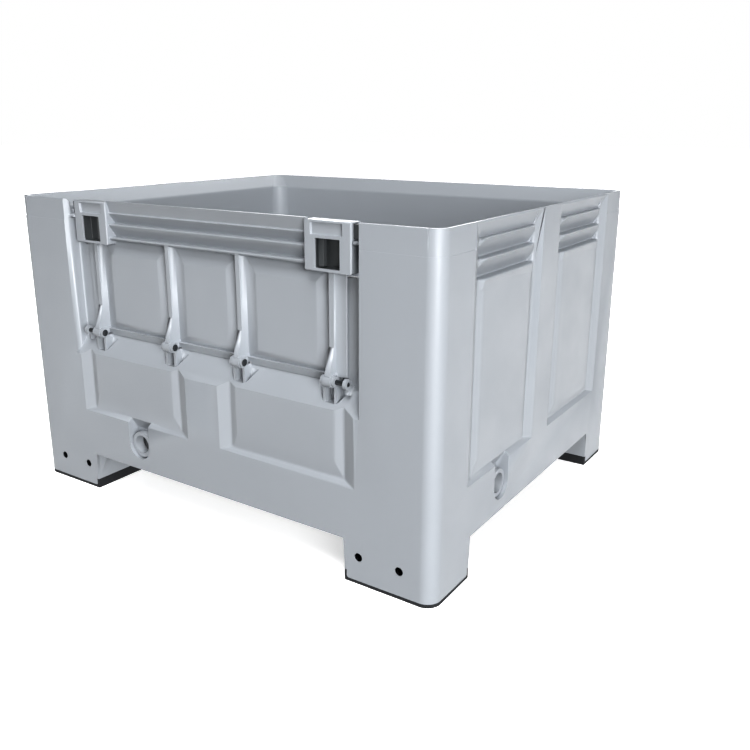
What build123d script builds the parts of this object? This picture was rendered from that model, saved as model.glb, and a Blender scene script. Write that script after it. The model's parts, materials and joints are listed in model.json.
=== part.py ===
from build123d import *
import os

# A rigid plastic bulk container with a drop door, for fruit and grape harvest.
# Millimetres, +Z up, origin on the ground under the middle, door on the -Y side.

# Overall size
LENGTH = 1200.0
WIDTH = 1000.0
HEIGHT = 740.0
FORK_HEIGHT = 95.0
CORNER_R = 32.0

# Moulded walls and floor
WALL = 45.0
SKIN = 5.0
INNER_R = 40.0
FLOOR_RISE = 40.0
FLOOR_SKIN = 6.0
RIB_PITCH = 115.0
RIB_SKIN = 5.0

# Rim: a thin lip with a funnel slope inside
RIM_LIP = 7.0
RIM_SLOPE = 35.0
RIM_BAND = 50.0
RIM_SETBACK = 1.0

# Bays: sunk panels between posts and columns
SIDE_POST = 130.0
SIDE_COLUMN = 90.0
SIDE_BAYS = 2
BACK_BAYS = 3
PANEL_BOTTOM = 212.0
GROOVE_D = 11.0
FIELD_D = 5.0
FLANK = 30.0
FLANK_BOTTOM = 9.0
FACET = 20.0
FACET_BOTTOM = 35.0
LIP_DROP = 34.0
LIP_IN = 15.0
LOUVRES = 2
LOUVRE_D = 2.0
LOUVRE_H = 39.5
LOUVRE_IN = 26.0

# Front: posts, lower panels and door sill
FRONT_POST = 180.0
FRONT_COLUMN = 98.0
PANEL_EDGE = 6.0
POST_FLARE = 7.0
POST_FLARE_D = 12.0
SILL_FRONT_Z = 360.0
SILL_RISE = 55.0
SILL_DEPTH = 40.0
STOP_D = 34.0
STOP_LAP = 13.0

# Hinges
HINGE_D = 14.0
HINGE_LIFT = 7.0
PIN_R = 5.0
PIN_FIT = 0.05
PIN_HEAD_R = 8.0
PIN_HEAD = 2.5
KNUCKLE_R = 13.0
KNUCKLE_W = 20.0
LUG_R = 11.0
LUG_W = 6.0
LUG_GAP = 0.4
OUTER_LUG_GAP = 5.0
OUTER_LUG_W = 8.0
OUTER_LUG_ROOT = 18.0
SCOOP_TOP = 108.0
SCOOP_BOTTOM = 34.0
SCOOP_DROP = 46.0
SCOOP_R = 15.0
SLIT_W = 6.0
SLIT_IN = 2.0
SLIT_D = 40.0

# Drop door
DOOR_GAP = 40.0
DOOR_LIFT = 3.0
DOOR_SKIN = 6.0
DOOR_CLEAR = 1.5
STOP_CLEAR = 0.3
DOOR_RIB_D = 22.0
DOOR_RIB = 13.0
END_RIB_INSET = 33.0
INNER_RIB_X = 105.0
STRIP_D = 28.0
STRIP_LIFT = 6.0
RAIL_D = 31.0
RAIL = 13.0
RAIL_LEAN = 6.0
RAIL_FOOT_GAP = 2.5
GUSSET = 70.0
GUSSET_D = 5.0
DOOR_DRAFT = 2.0
DOOR_FIELD_D = 30.5
DOOR_FACET = 34.0
DOOR_FACET_BOTTOM = 18.0
DOOR_LIP_D = 17.0
DOOR_LIP_IN = 27.0
DOOR_LIP_DROP = 28.0
DOOR_CHANNELS = 2
DOOR_CHANNEL = 24.0
DOOR_BAND_RIB = 7.0
DOOR_BAND_SET = 2.0
DOOR_BAND_LEAN = 3.0

# Latches
LATCH_D = 12.0
LATCH_GAP = 18.0
LATCH_UNDER = 8.0
LATCH_W = 112.0
LATCH_DROP = 3.0
LATCH_H = 98.0
LATCH_BEZEL = 6.0
BRIDGE = 7.0
WINDOW_EDGE_IN = 25.0
WINDOW_W = 60.0
WINDOW_H = 58.0
WINDOW_SILL = 6.0
CUP_WALL = 2.7
CUP_DEPTH = 22.0
LATCH_FIT = 0.3
COVER = 3.0
COVER_LAP = 8.0
CELL_EDGE_IN = 15.0
CELL_W = 76.0
CELL_RAIL = 6.0
CELL_H = 24.0
CELL_D = 5.0
BOLT_H = 28.0
BOLT_T = 13.0
BOLT_PROUD = 12.0
BOLT_TRAVEL = 16.0
BOLT_DROP = 6.0
BOLT_HOLE_EDGE = 2.5
KEEPER_SPARE = 6.0
GRIP_W = 13.0
GRIP_T = 10.0
GRIP_INSET = 4.0
GRIP_END = 3.0
SCREW_R = 1.75
SCREW_HEAD_R = 3.4
SCREW_HEAD = 1.6
SCREW_LENGTH = 8.0

# Drains
DRAIN_FRONT_X = -220.0
DRAIN_SIDE_Y = -205.0
DRAIN_BORE_R = 23.0
DRAIN_COLLAR = 9.0
DRAIN_POCKET_GAP = 3.0
DRAIN_POCKET_D = 28.0
DRAIN_POCKET_TOP = 239.0
DRAIN_COLLAR_D = 8.0
DRAIN_BOSS = 8.0
PLUG_SET = 24.0
PLUG_FIT = 0.3
PLUG_GRIP = 9.0
PLUG_GRIP_W = 8.0
SEAL_R = 2.0
SEAL_FIT = 0.1
SEAL_SEAT = 0.3

# Feet and shoes
FOOT_X = 210.0
FOOT_Y = 150.0
SHOE = 8.0
SHOE_LIP = 25.0
SHOE_LIP_T = 6.0
SHOE_LUG = 26.0
SHOE_LUG_OVER = 14.0
FOOT_SCREW_Z = 62.0
FOOT_SCREW_X = (78.0, 175.0)
FOOT_SCREW_HEAD_R = 9.0
FOOT_SCREW_HEAD = 4.5
FOOT_SCREW_R = 5.0
FOOT_SCREW_LENGTH = 18.0
FOOT_SCREW_FIT = 0.3
HEX_R = 4.6
HEX_D = 2.5

# A cutter reaches this far past the face that it leaves through
OVER = 2.0

# Levels and places worked out from the sizes above
FLOOR_TOP = FORK_HEIGHT + FLOOR_RISE
FLOOR_UNDER = FLOOR_TOP - FLOOR_SKIN
CORE_BACK = WALL - SKIN
POST_CORE_TOP = HEIGHT - RIM_BAND
BAND_TOP = HEIGHT - LIP_DROP
PANEL_TOP = BAND_TOP - LOUVRES * LOUVRE_H
SILL_TOP = SILL_FRONT_Z + SILL_RISE
HINGE_Z = SILL_TOP + HINGE_LIFT
DOOR_BOTTOM = SILL_TOP + DOOR_LIFT
OPENING_X = LENGTH / 2 - FRONT_POST
DOOR_X = OPENING_X - DOOR_GAP
STOP_X = DOOR_X - STOP_LAP
DOOR_SKIN_X = STOP_X - DOOR_CLEAR
DOOR_STEP = DOOR_CHANNEL + DOOR_BAND_RIB
DOOR_BAY_TOP = HEIGHT - DOOR_LIP_DROP - DOOR_CHANNELS * DOOR_STEP
END_RIB_X = DOOR_X - END_RIB_INSET
HINGE_X = (-END_RIB_X, -INNER_RIB_X, INNER_RIB_X, END_RIB_X)
LUG_X0 = KNUCKLE_W / 2 + LUG_GAP
LUG_X1 = LUG_X0 + LUG_W
OUTER_LUG_X0 = DOOR_X + OUTER_LUG_GAP
OUTER_LUG_X1 = OUTER_LUG_X0 + OUTER_LUG_W
SCOOP_FLOOR = HINGE_Z - SCOOP_DROP
PANEL_X0 = FRONT_COLUMN / 2
PANEL_X1 = OPENING_X - PANEL_EDGE
LATCH_X1 = OPENING_X - LATCH_GAP
LATCH_X0 = LATCH_X1 - LATCH_W
LATCH_Z1 = HEIGHT - LATCH_DROP
LATCH_Z0 = LATCH_Z1 - LATCH_H
CUP_D = LATCH_D + LATCH_BEZEL
WINDOW_X0 = LATCH_X0 + WINDOW_EDGE_IN
WINDOW_X1 = WINDOW_X0 + WINDOW_W
WINDOW_Z0 = LATCH_Z0 + WINDOW_SILL
WINDOW_Z1 = WINDOW_Z0 + WINDOW_H
BAY_X0 = WINDOW_X0 - CUP_WALL - LATCH_FIT
BAY_X1 = WINDOW_X1 + CUP_WALL + LATCH_FIT
BAY_Z0 = WINDOW_Z0 - CUP_WALL - LATCH_FIT
CUP_TOP = WINDOW_Z1 + CUP_WALL + LATCH_FIT
CELL_X0 = LATCH_X0 + CELL_EDGE_IN
CELL_Z0 = WINDOW_Z1 + CELL_RAIL
BOLT_Z1 = HEIGHT - BOLT_DROP
BOLT_Z0 = BOLT_Z1 - BOLT_H
BAY_Z1 = BOLT_Z1 + LATCH_FIT
BOLT_D0 = CUP_D + BOLT_HOLE_EDGE
BOLT_D1 = BOLT_D0 + BOLT_T
BOLT_TIP = LATCH_X1 + BOLT_PROUD
GRIP_X0 = WINDOW_X0 + GRIP_INSET
GRIP_X1 = GRIP_X0 + GRIP_W
BRIDGE_Z1 = BOLT_Z0 - LATCH_FIT - BOLT_HOLE_EDGE
COVER_D = WALL - COVER
DRAIN_Z = FLOOR_TOP + DRAIN_BORE_R
DRAIN_POCKET_R = DRAIN_BORE_R + DRAIN_COLLAR + DRAIN_POCKET_GAP

# Where each wall stands: wall coordinates are u along the wall as seen
# from outside, d into the wall from its outer face, and z up
WALL_PLACE = {
    "front": Pos(0, -WIDTH / 2, 0),
    "right": Pos(LENGTH / 2, 0, 0) * Rot(0, 0, 90),
    "back": Pos(0, WIDTH / 2, 0) * Rot(0, 0, 180),
    "left": Pos(-LENGTH / 2, 0, 0) * Rot(0, 0, -90),
}
CORNERS = {
    "front_left": (-1, -1),
    "front_right": (1, -1),
    "back_left": (-1, 1),
    "back_right": (1, 1),
}


def block(x0, x1, y0, y1, z0, z1):
    """A box from its two corners, given in any order along each axis."""
    centre = Pos((x0 + x1) / 2, (y0 + y1) / 2, (z0 + z1) / 2)
    return centre * Box(abs(x1 - x0), abs(y1 - y0), abs(z1 - z0))


def frustum(front, d0, back, d1):
    """The solid between two upright rectangles (u0, u1, z0, z1) at depths d0 and d1."""
    sections = []
    for (u0, u1, z0, z1), depth in ((front, d0), (back, d1)):
        centre = Pos((u0 + u1) / 2, (z0 + z1) / 2)
        sections.append(Plane.XZ.offset(-depth) * centre * Rectangle(u1 - u0, z1 - z0))
    return loft(sections, ruled=True)


def prism_along_x(points, x0, x1):
    """A (d, z) outline carried along X from x0 to x1."""
    outline = Plane.YZ.offset(x0) * make_face(Polyline(*points, close=True))
    return extrude(outline, x1 - x0)


def rod_along_x(radius, d, z, x0, x1):
    """A round bar along X from x0 to x1."""
    return Pos((x0 + x1) / 2, d, z) * Rot(0, 90, 0) * Cylinder(radius, x1 - x0)


def rod_along_d(radius, u, z, d0, d1):
    """A round bar square to the wall, from depth d0 to depth d1."""
    return Pos(u, (d0 + d1) / 2, z) * Rot(90, 0, 0) * Cylinder(radius, d1 - d0)


def joined(shapes):
    """All the given solids as one."""
    total = shapes[0]
    for shape in shapes[1:]:
        total = total + shape
    return total


def both_sides(shape):
    """A solid and its mirror image across the middle of the front."""
    return [shape, mirror(shape, about=Plane.YZ)]


def plan(inset, radius, z0, z1):
    """The container's rounded plan, drawn in by inset, from z0 to z1."""
    outline = RectangleRounded(LENGTH - 2 * inset, WIDTH - 2 * inset, radius)
    return Pos(0, 0, z0) * extrude(outline, z1 - z0)


def foot_block(sx, sy, inset, z0, z1):
    """The square plan of one foot, drawn in by inset on its two inner sides."""
    x_inner = sx * (LENGTH / 2 - FOOT_X + inset)
    y_inner = sy * (WIDTH / 2 - FOOT_Y + inset)
    return block(sx * LENGTH / 2, x_inner, sy * WIDTH / 2, y_inner, z0, z1)


def storage_space():
    """The space for the load: straight walls, then a funnel slope to the rim lip."""
    slope_z = HEIGHT - RIM_SLOPE
    straight = plan(WALL, INNER_R, FLOOR_TOP, slope_z)
    sections = []
    for z, inset, radius in ((slope_z, WALL, INNER_R), (HEIGHT, RIM_LIP, CORNER_R - RIM_LIP)):
        outline = RectangleRounded(LENGTH - 2 * inset, WIDTH - 2 * inset, radius)
        sections.append(Pos(0, 0, z) * outline)
    top = plan(RIM_LIP, CORNER_R - RIM_LIP, HEIGHT, HEIGHT + OVER)
    return joined([straight, loft(sections, ruled=True), top])


def bay_spans(half, post, column, count):
    """The (u0, u1) of each bay on a wall with equal bays between its posts."""
    width = (2 * (half - post) - (count - 1) * column) / count
    return [(-half + post + i * (width + column), -half + post + i * (width + column) + width)
            for i in range(count)]


def sunk_panel(u0, u1, top):
    """Cutter of one sunk panel: sloped flanks to a groove, with a raised field inside."""
    z0 = PANEL_BOTTOM
    grow = OVER / GROOVE_D
    mouth = (u0 - grow * FLANK, u1 + grow * FLANK, z0 - grow * FLANK_BOTTOM, top)
    groove = (u0 + FLANK, u1 - FLANK, z0 + FLANK_BOTTOM, top)
    field = (groove[0] + FACET, groove[1] - FACET, groove[2] + FACET_BOTTOM, top)
    return frustum(mouth, -OVER, groove, GROOVE_D) - frustum(groove, GROOVE_D, field, FIELD_D)


def louvre(u0, u1, top, bottom, depth):
    """Cutter of one louvre: a face that leans in from its upper edge down to a level ledge."""
    front = LOUVRE_D - OVER
    return prism_along_x([(front, top), (LOUVRE_D, top), (depth, bottom), (front, bottom)], u0, u1)


def side_bay(u0, u1):
    """Cutter of one full-height bay: sunk panel below, louvred band and leaning lip above."""
    cutter = sunk_panel(u0, u1, HEIGHT + OVER)
    foot = (u0 + FLANK, u1 - FLANK, PANEL_TOP - FACET, HEIGHT + OVER)
    crown = (foot[0] + FACET, foot[1] - FACET, PANEL_TOP - FACET, HEIGHT + OVER)
    cutter -= frustum(foot, GROOVE_D, crown, LOUVRE_D)
    under_rim = [(LOUVRE_D, HEIGHT + OVER), (LOUVRE_D, HEIGHT), (GROOVE_D, BAND_TOP), (WALL, BAND_TOP),
                 (WALL, HEIGHT + OVER)]
    cutter -= prism_along_x(under_rim, u0, u1)
    cutter += louvre(foot[0], foot[1], HEIGHT, BAND_TOP, LIP_IN)
    for number in range(LOUVRES):
        top = BAND_TOP - number * LOUVRE_H
        cutter += louvre(foot[0], foot[1], top, top - LOUVRE_H, LOUVRE_IN)
    return cutter + louvre(foot[0], foot[1], PANEL_TOP, PANEL_TOP - FACET, FIELD_D)


def bay_core(u0, u1, z_top):
    """Hollow inside a panel, open at the underside: a slot, wider behind the raised field."""
    slot_d = GROOVE_D + SKIN
    slot = block(u0 + SKIN, u1 - SKIN, slot_d, CORE_BACK, FORK_HEIGHT - OVER, z_top)
    edge = FLANK + FACET
    field_z0 = PANEL_BOTTOM + FLANK_BOTTOM + FACET_BOTTOM
    return slot + block(u0 + edge, u1 - edge, FIELD_D + SKIN, CORE_BACK, field_z0, z_top)


def column_core(u0, u1, z_top):
    """Hollow inside a column, open at the underside."""
    return block(u0 + SKIN, u1 - SKIN, SKIN, CORE_BACK, FORK_HEIGHT - OVER, z_top)


def drain_keep(u):
    """The part of a wall that stays solid round a drain."""
    half = DRAIN_POCKET_R + DRAIN_BOSS
    return block(u - half, u + half, -OVER, WALL + OVER, 0, DRAIN_POCKET_TOP)


def drain_pocket(u):
    """Cutter of the pocket round a drain collar, which runs out upward, and the drain's bore."""
    pocket = rod_along_d(DRAIN_POCKET_R, u, DRAIN_Z, -OVER, DRAIN_POCKET_D)
    outline = [(-OVER, DRAIN_Z), (DRAIN_POCKET_D, DRAIN_Z), (DRAIN_POCKET_D, DRAIN_Z + DRAIN_POCKET_R),
               (0, DRAIN_POCKET_TOP), (-OVER, DRAIN_POCKET_TOP)]
    pocket += prism_along_x(outline, u - DRAIN_POCKET_R, u + DRAIN_POCKET_R)
    pocket -= rod_along_d(DRAIN_BORE_R + DRAIN_COLLAR, u, DRAIN_Z, DRAIN_COLLAR_D, WALL)
    return pocket + rod_along_d(DRAIN_BORE_R, u, DRAIN_Z, -OVER, WALL + OVER)


def wall_cutters(name, bays, drain_u=None):
    """All cutters of a plain wall, moved to its place."""
    shapes = [side_bay(u0, u1) for u0, u1 in bays]
    cores = [bay_core(u0, u1, PANEL_TOP - FACET) for u0, u1 in bays]
    for (_, left_end), (right_start, _) in zip(bays, bays[1:]):
        cores.append(column_core(left_end, right_start, POST_CORE_TOP))
    if drain_u is not None:
        cores = [core - drain_keep(drain_u) for core in cores]
        shapes.append(drain_pocket(drain_u))
    return [WALL_PLACE[name] * shape for shape in shapes + cores]


def front_cutters():
    """Cutters of the front wall: lower panels, door opening and hollows."""
    panel = sunk_panel(PANEL_X0, PANEL_X1, HINGE_Z)
    slot = bay_core(PANEL_X0, PANEL_X1, SILL_FRONT_Z)
    shapes = both_sides(panel)
    shapes += [core - drain_keep(DRAIN_FRONT_X) for core in both_sides(slot)]
    shapes.append(column_core(-PANEL_X0, PANEL_X0, SILL_FRONT_Z - SKIN))
    shapes.append(drain_pocket(DRAIN_FRONT_X))
    return [WALL_PLACE["front"] * shape for shape in shapes]


def sill_outline(depth):
    """The (d, z) outline of everything above the sloped sill, back to the given depth."""
    grow = OVER * SILL_RISE / SILL_DEPTH
    top = HEIGHT + OVER
    outline = [(-OVER, SILL_FRONT_Z - grow), (SILL_DEPTH, SILL_TOP)]
    if depth < SILL_DEPTH:
        outline[1] = (depth, SILL_FRONT_Z + depth * SILL_RISE / SILL_DEPTH)
    else:
        outline.append((depth, SILL_TOP))
    return outline + [(depth, top), (-OVER, top)]


def hinge_scoop(x):
    """Cutter of the round-bottomed scoop under one hinge, with a slit in its back on the outer side."""
    mouth = make_face(Polyline((x - SCOOP_BOTTOM / 2, SCOOP_FLOOR), (x + SCOOP_BOTTOM / 2, SCOOP_FLOOR),
                               (x + SCOOP_TOP / 2, HINGE_Z), (x - SCOOP_TOP / 2, HINGE_Z), close=True))
    mouth = fillet(mouth.vertices().sort_by(Axis.Y)[:2], SCOOP_R)
    scoop = extrude(Plane.XZ.offset(OVER) * mouth, -STOP_D - OVER)
    outward = 1 if x > 0 else -1
    slit_x = x + outward * (KNUCKLE_W / 2 - SLIT_IN)
    slit = block(slit_x, slit_x + outward * SLIT_W, STOP_D - OVER, SLIT_D, SCOOP_FLOOR + OVER, HINGE_Z)
    return scoop + slit


def door_opening():
    """Cutter of the doorway: flared post edges outside, stops for the door inside."""
    wide = prism_along_x(sill_outline(STOP_D), -OPENING_X, OPENING_X)
    reach = POST_FLARE * (1 + OVER / POST_FLARE_D)
    flare = [(OPENING_X - OVER, -OVER), (OPENING_X + reach, -OVER), (OPENING_X, POST_FLARE_D),
             (OPENING_X - OVER, POST_FLARE_D)]
    edge = extrude(make_face(Polyline(*flare, close=True)), HEIGHT + OVER)
    edge &= prism_along_x(sill_outline(STOP_D), 0, LENGTH)
    narrow = prism_along_x(sill_outline(WALL + OVER), -STOP_X, STOP_X)
    latch_side = block(-LATCH_X1 - DOOR_CLEAR, LATCH_X1 + DOOR_CLEAR, 0, WALL + OVER,
                       LATCH_Z0 - LATCH_UNDER, HEIGHT + OVER)
    above = block(-OPENING_X, OPENING_X, 0, WALL + OVER, BRIDGE_Z1, HEIGHT + OVER)
    shapes = [wide, narrow, latch_side, above] + both_sides(edge)
    shapes += [hinge_scoop(x) for x in HINGE_X]
    return WALL_PLACE["front"] * joined(shapes)


def hinge_lug(x0, x1, root_z):
    """One rounded lug for a hinge pin, with its root down to root_z."""
    root = block(x0, x1, HINGE_D, SILL_DEPTH, root_z, SILL_TOP)
    return rod_along_x(LUG_R, HINGE_D, HINGE_Z, x0, x1) + root


def front_additions():
    """What stands in the doorway: hinge lugs, and a bridge on each post under the bolt."""
    shapes = both_sides(hinge_lug(OUTER_LUG_X0, OUTER_LUG_X1, SILL_TOP - OUTER_LUG_ROOT))
    for x in HINGE_X:
        shapes.append(hinge_lug(x - LUG_X1, x - LUG_X0, SCOOP_FLOOR))
        shapes.append(hinge_lug(x + LUG_X0, x + LUG_X1, SCOOP_FLOOR))
    bridge = block(LATCH_X1 + DOOR_CLEAR, OPENING_X + OVER, POST_FLARE_D, WALL, BRIDGE_Z1 - BRIDGE, BRIDGE_Z1)
    return [WALL_PLACE["front"] * shape for shape in shapes + both_sides(bridge)]


def front_holes():
    """Bores for the hinge pins and a keeper pocket for each bolt."""
    bore = PIN_R + PIN_FIT
    shapes = both_sides(rod_along_x(bore, HINGE_D, HINGE_Z, OUTER_LUG_X0 - OVER, OUTER_LUG_X1 + OVER))
    for x in HINGE_X:
        shapes.append(rod_along_x(bore, HINGE_D, HINGE_Z, x - LUG_X1 - OVER, x + LUG_X1 + OVER))
    edge = LATCH_FIT + BOLT_HOLE_EDGE
    end = BOLT_TIP + BOLT_TRAVEL + KEEPER_SPARE
    keeper = block(OPENING_X - OVER, end, BOLT_D0 - edge, BOLT_D1 + edge, BOLT_Z0 - edge, BOLT_Z1 + edge)
    return [WALL_PLACE["front"] * shape for shape in shapes + both_sides(keeper)]


def corner_core(sx, sy):
    """Hollow of a corner post, between its skins, open into the foot below."""
    ring = plan(SKIN, CORNER_R - SKIN, FORK_HEIGHT, POST_CORE_TOP)
    ring -= plan(CORE_BACK, INNER_R + SKIN, FORK_HEIGHT - OVER, POST_CORE_TOP + OVER)
    long_post = SIDE_POST if sy > 0 else FRONT_POST - POST_FLARE
    x_edge = sx * (LENGTH / 2 - long_post + SKIN)
    y_edge = sy * (WIDTH / 2 - SIDE_POST + SKIN)
    x_face = sx * LENGTH / 2
    y_face = sy * WIDTH / 2
    arms = block(x_edge, x_face, y_face - sy * WALL, y_face, 0, HEIGHT)
    arms += block(x_face - sx * WALL, x_face, y_edge, y_face, 0, HEIGHT)
    return ring & arms


def floor_pockets():
    """Pockets between the ribs under the floor, clear of the feet."""
    inner_x = LENGTH - 2 * WALL
    inner_y = WIDTH - 2 * WALL
    count_x = int(-(-inner_x // RIB_PITCH))
    count_y = int(-(-inner_y // RIB_PITCH))
    pitch_x = inner_x / count_x
    pitch_y = inner_y / count_y
    cell = Box(pitch_x - RIB_SKIN, pitch_y - RIB_SKIN, FLOOR_UNDER - FORK_HEIGHT + OVER)
    z = (FLOOR_UNDER + FORK_HEIGHT - OVER) / 2
    cells = [loc * cell for loc in GridLocations(pitch_x, pitch_y, count_x, count_y)]
    feet = [foot_block(sx, sy, 0, FORK_HEIGHT - 2 * OVER, FLOOR_TOP) for sx, sy in CORNERS.values()]
    pockets = []
    for shape in cells:
        pockets += (Pos(0, 0, z) * shape - feet).solids()
    return pockets


def rim_setback():
    """Cutter of the slightly drawn-in rim band on the posts, which stops short of the bays."""
    band = plan(-OVER, CORNER_R + OVER, HEIGHT - RIM_BAND, HEIGHT + OVER)
    band -= plan(RIM_SETBACK, CORNER_R - RIM_SETBACK, HEIGHT - RIM_BAND - OVER, HEIGHT + 2 * OVER)
    keep_x = LENGTH / 2 - SIDE_POST
    keep_y = WIDTH / 2 - SIDE_POST
    band -= block(-keep_x, keep_x, 0, WIDTH, 0, HEIGHT + 2 * OVER)
    return band - block(-LENGTH, LENGTH, -keep_y, keep_y, 0, HEIGHT + 2 * OVER)


def make_tub():
    """The one-piece moulding: floor, walls, posts, rim and hollow feet."""
    body = plan(0, CORNER_R, FORK_HEIGHT, HEIGHT)
    foot_plan = plan(0, CORNER_R, SHOE, FORK_HEIGHT + OVER)
    hollow_plan = plan(SKIN, CORNER_R - SKIN, 0, FLOOR_UNDER)
    cutters = [storage_space(), rim_setback()]
    for sx, sy in CORNERS.values():
        foot = foot_plan & foot_block(sx, sy, 0, SHOE, FORK_HEIGHT + OVER)
        foot -= foot_block(sx, sy, 0, 0, SHOE_LIP) - foot_block(sx, sy, SHOE_LIP_T, 0, SHOE_LIP)
        body += foot
        cutters.append(hollow_plan & foot_block(sx, sy, SKIN, 0, FLOOR_UNDER))
        cutters.append(corner_core(sx, sy))
        hole = rod_along_d(FOOT_SCREW_HEAD_R + FOOT_SCREW_FIT, 0, FOOT_SCREW_Z, -OVER, SKIN + OVER)
        cutters += [foot_screw_place(sx, sy, x) * hole for x in FOOT_SCREW_X]
    side_bays = bay_spans(WIDTH / 2, SIDE_POST, SIDE_COLUMN, SIDE_BAYS)
    back_bays = bay_spans(LENGTH / 2, SIDE_POST, SIDE_COLUMN, BACK_BAYS)
    cutters += wall_cutters("right", side_bays, DRAIN_SIDE_Y)
    cutters += wall_cutters("left", side_bays)
    cutters += wall_cutters("back", back_bays)
    cutters += front_cutters()
    cutters += floor_pockets()
    cutters.append(door_opening())
    body = body - cutters
    body = body + front_additions()
    return body - front_holes()


def door_band():
    """The louvred band under the door's lip: leaning faces over level ledges with drafted noses."""
    front = DOOR_LIP_D + DOOR_BAND_SET
    skin_d = WALL - DOOR_SKIN
    back = WALL - OVER
    under = front + DOOR_BAND_LEAN
    outline = [(back, DOOR_BAY_TOP), (under, DOOR_BAY_TOP)]
    for number in range(DOOR_CHANNELS):
        ledge = DOOR_BAY_TOP + number * DOOR_STEP + DOOR_BAND_RIB
        outline += [(front, ledge), (skin_d, ledge), (under, ledge + DOOR_CHANNEL)]
    outline.append((back, HEIGHT - DOOR_LIP_DROP))
    return prism_along_x(outline, -LATCH_X0 - OVER, LATCH_X0 + OVER)


def door_lip():
    """The door's top edge between the latches: a lip that leans in, with the rim's slope inside."""
    z = HEIGHT - DOOR_LIP_DROP
    slope_z = HEIGHT - RIM_SLOPE
    back = DOOR_LIP_D + RIM_LIP
    outline = [(DOOR_LIP_IN, z), (DOOR_LIP_D, HEIGHT), (back, HEIGHT), (WALL, slope_z),
               (WALL, slope_z - RIM_LIP), (WALL - DOOR_SKIN, slope_z - RIM_LIP), (back + RIM_LIP, z)]
    return prism_along_x(outline, -LATCH_X0 - OVER, LATCH_X0 + OVER)


def door_bay(x0, x1):
    """Cutter of one bay of the door: drafted sides down to a groove, with a raised field inside."""
    skin_d = WALL - DOOR_SKIN
    top = DOOR_BAY_TOP
    mouth = (x0, x1, DOOR_BOTTOM - OVER, top)
    groove = (x0 + DOOR_DRAFT, x1 - DOOR_DRAFT, DOOR_BOTTOM - OVER, top - DOOR_DRAFT)
    foot = (groove[0], groove[1], DOOR_BOTTOM + RAIL, groove[3])
    field = (foot[0] + DOOR_FACET, foot[1] - DOOR_FACET, foot[2] + DOOR_FACET_BOTTOM, foot[3] - DOOR_FACET)
    opened = block(x0, x1, DOOR_RIB_D - OVER, DOOR_RIB_D, DOOR_BOTTOM - OVER, top)
    return opened + frustum(mouth, DOOR_RIB_D, groove, skin_d) - frustum(foot, skin_d, field, DOOR_FIELD_D)


def door_rail():
    """The door's bottom rail: its front leans in, and between the hinges its foot follows the sill."""
    top = DOOR_BOTTOM + RAIL
    foot_d = RAIL_D + RAIL_LEAN
    foot_z = SILL_FRONT_Z + foot_d * SILL_RISE / SILL_DEPTH + RAIL_FOOT_GAP
    under_d = RAIL_D + RAIL_LEAN * RAIL / (top - foot_z)
    rail = prism_along_x([(RAIL_D, top), (under_d, DOOR_BOTTOM), (WALL, DOOR_BOTTOM), (WALL, top)],
                         -DOOR_SKIN_X, DOOR_SKIN_X)
    outline = [(RAIL_D, top), (foot_d, foot_z), (SILL_DEPTH, SILL_TOP + RAIL_FOOT_GAP), (WALL, DOOR_BOTTOM),
               (WALL, top)]
    for x0, x1 in zip(HINGE_X, HINGE_X[1:]):
        rail += prism_along_x(outline, x0 + LUG_X1 + DOOR_CLEAR, x1 - LUG_X1 - DOOR_CLEAR)
    return rail


def door_knuckle(x):
    """One hinge knuckle with its arm to the door and the rib's widening foot."""
    half = KNUCKLE_W / 2
    shape = rod_along_x(KNUCKLE_R, HINGE_D, HINGE_Z, x - half, x + half)
    shape += block(x - half, x + half, HINGE_D, WALL - OVER, DOOR_BOTTOM, HINGE_Z + KNUCKLE_R)
    outline = [(DOOR_RIB_D, DOOR_BOTTOM + GUSSET), (GUSSET_D, HINGE_Z + LUG_R), (HINGE_D, HINGE_Z),
               (WALL - OVER, DOOR_BOTTOM), (WALL - OVER, DOOR_BOTTOM + GUSSET)]
    return shape + prism_along_x(outline, x - DOOR_RIB / 2, x + DOOR_RIB / 2)


def latch_cutters():
    """Cutters of the right-hand latch: window, bays of cup and bolt, bolt way, blind cell and cover seat."""
    lap = COVER_LAP + LATCH_FIT
    cutters = [
        block(WINDOW_X0, WINDOW_X1, 0, CUP_D + OVER, WINDOW_Z0, WINDOW_Z1),
        block(BAY_X0, BAY_X1, CUP_D, WALL + OVER, BAY_Z0, CUP_TOP),
        block(BAY_X0, BAY_X1, BOLT_D0 - LATCH_FIT, WALL + OVER, CUP_TOP - OVER, BAY_Z1),
        block(BAY_X1 - OVER, LATCH_X1 + OVER, BOLT_D0 - LATCH_FIT, BOLT_D1 + LATCH_FIT,
              BOLT_Z0 - LATCH_FIT, BOLT_Z1 + LATCH_FIT),
        block(CELL_X0, CELL_X0 + CELL_W, 0, LATCH_D + CELL_D, CELL_Z0, CELL_Z0 + CELL_H),
        block(BAY_X0 - lap, BAY_X1 + lap, COVER_D, WALL + OVER, BAY_Z0 - lap, LATCH_Z1 + OVER),
    ]
    for x, z in cover_screws():
        cutters.append(rod_along_d(SCREW_R, x, z, WALL - SCREW_LENGTH, WALL))
    return joined(cutters)


def cover_screws():
    """The (x, z) of each screw of the right-hand latch cover."""
    xs = (BAY_X0 - COVER_LAP / 2, BAY_X1 + COVER_LAP / 2)
    zs = (BAY_Z0 + COVER_LAP, BAY_Z1 - COVER_LAP)
    return [(x, z) for x in xs for z in zs]


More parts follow.
